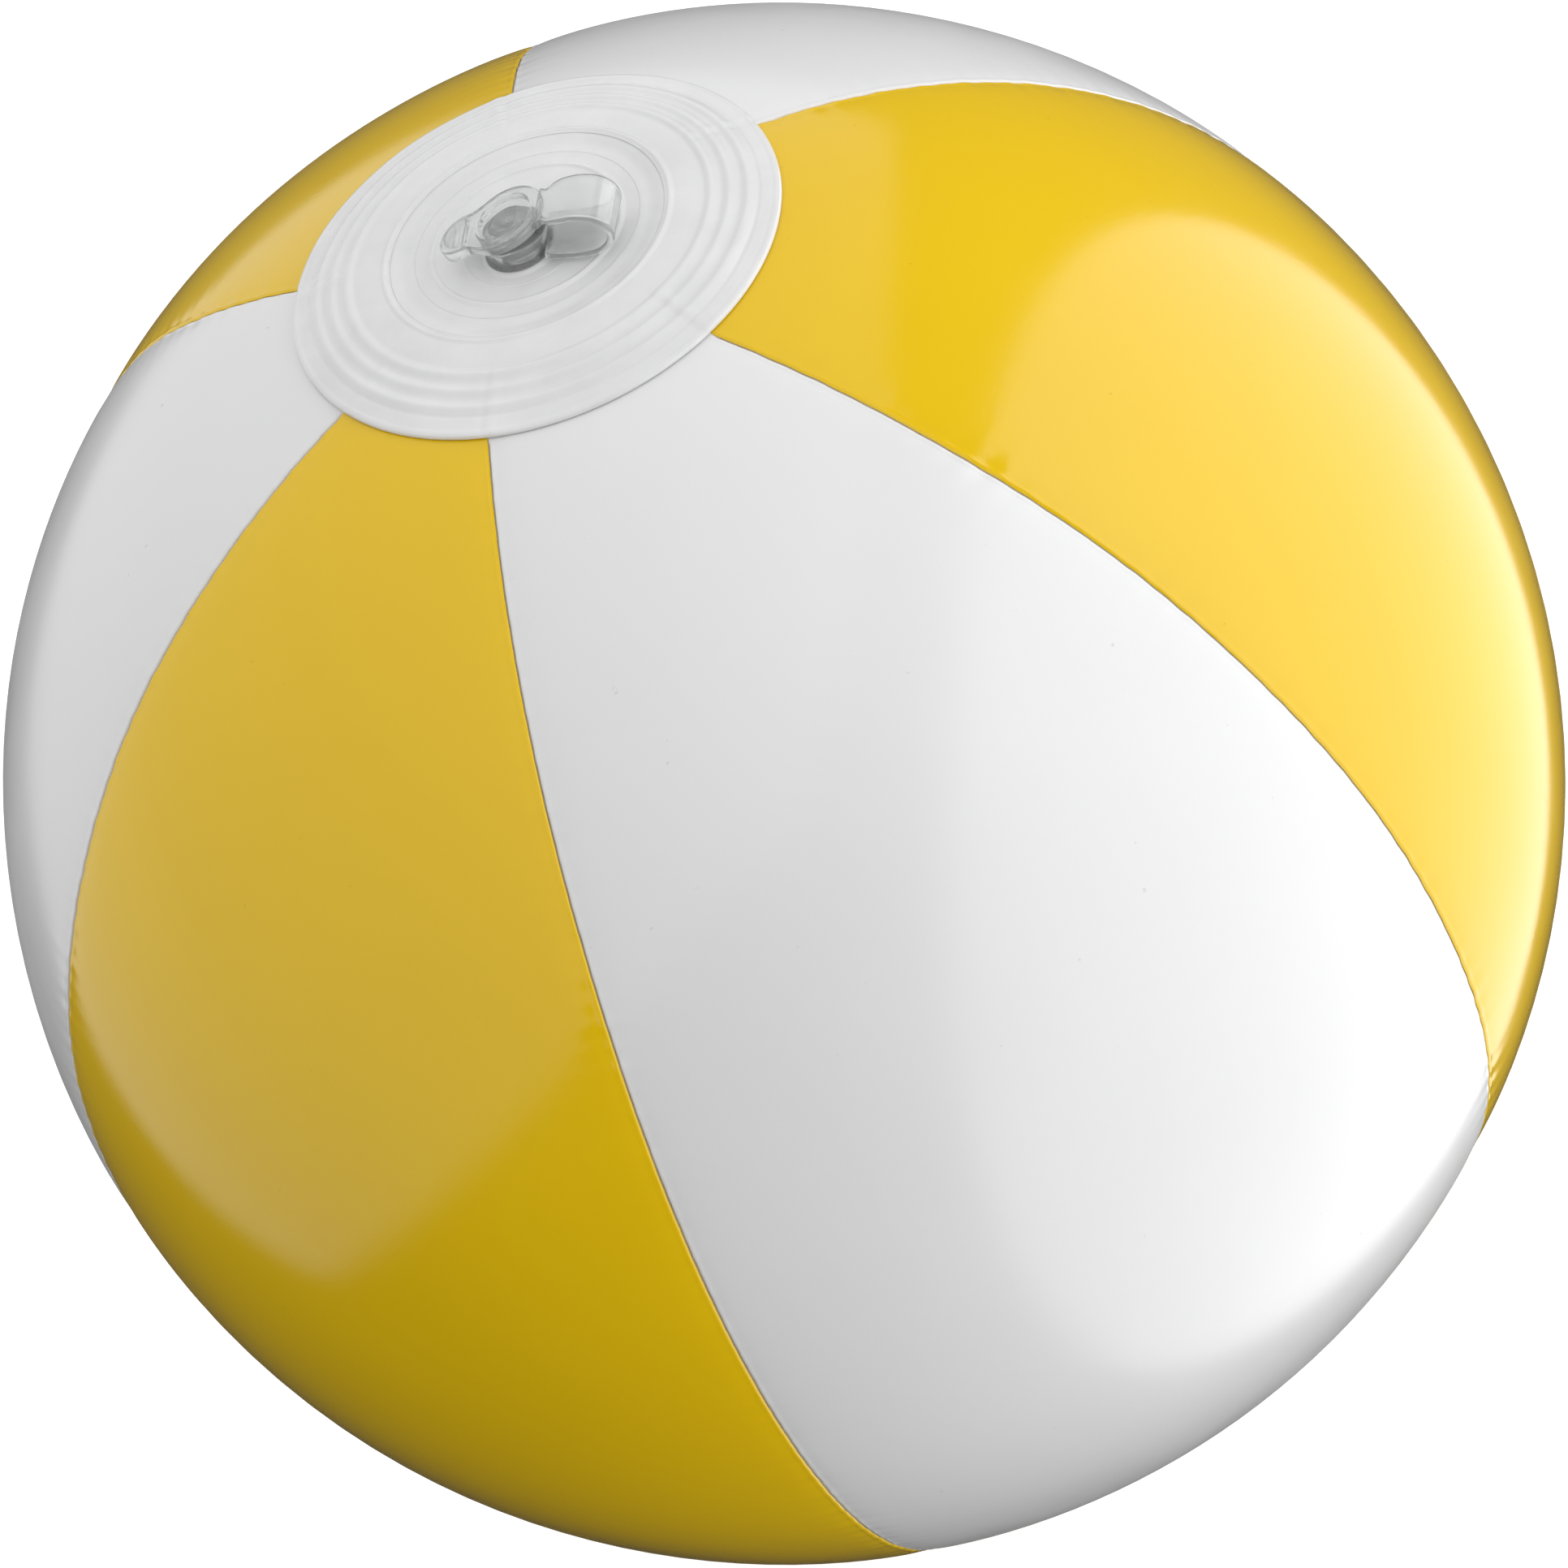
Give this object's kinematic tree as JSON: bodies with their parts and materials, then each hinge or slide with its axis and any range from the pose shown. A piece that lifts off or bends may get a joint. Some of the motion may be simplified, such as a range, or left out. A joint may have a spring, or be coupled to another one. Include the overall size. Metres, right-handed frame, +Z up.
{
  "type": "inflatable beach ball",
  "caption": "Inflated ball of welded film gores with a moulded air valve, tethered stopper and closing disc at the opposite pole.",
  "frame": {"origin": "the ball's lowest point, under the middle of the closing disc", "axes": "+Z up the valve axis, +X towards the loop of the stopper's strap"},
  "size_m": [0.26, 0.26, 0.2679],
  "materials": {
    "panel_yellow": "glossy soft film, slightly translucent",
    "panel_white": "glossy soft film, opaque",
    "disc_milky": "milky moulded soft plastic, glossy",
    "valve_clear": "clear soft plastic, glossy"
  },
  "bodies": {
    "ball": {"yellow_panel_left": "panel_yellow", "white_panel_front": "panel_white", "yellow_panel_right": "panel_yellow", "white_panel_back": "panel_white", "yellow_panel_back": "panel_yellow", "white_panel_left": "panel_white", "valve_disc": "disc_milky", "base_disc": "disc_milky", "valve_web": "disc_milky"},
    "valve": {"valve_boss": "disc_milky", "valve_stem": "valve_clear"},
    "flap": {"check_flap": "valve_clear"},
    "stopper": {"stopper": "valve_clear", "tether_strap": "valve_clear"}
  },
  "joints": [
    {"name": "valve_push_in", "type": "slide", "parent": "ball", "child": "valve", "axis": [0, 0, 1], "range_m": [-0.008, 0], "deforming": ["valve_web"]},
    {"name": "stopper_pull", "type": "hinge", "parent": "valve", "child": "stopper", "pos_m": [0.012, -0.0042, 0.2611], "axis": [0, 1, 0], "range_deg": [0, 100], "deforming": ["tether_strap"]},
    {"name": "flap_open", "type": "hinge", "parent": "valve", "child": "flap", "pos_m": [0.0062, -0.0042, 0.248], "axis": [0, -1, 0], "range_deg": [0, 50], "stiffness_Nm_per_rad": 0.0003}
  ]
}
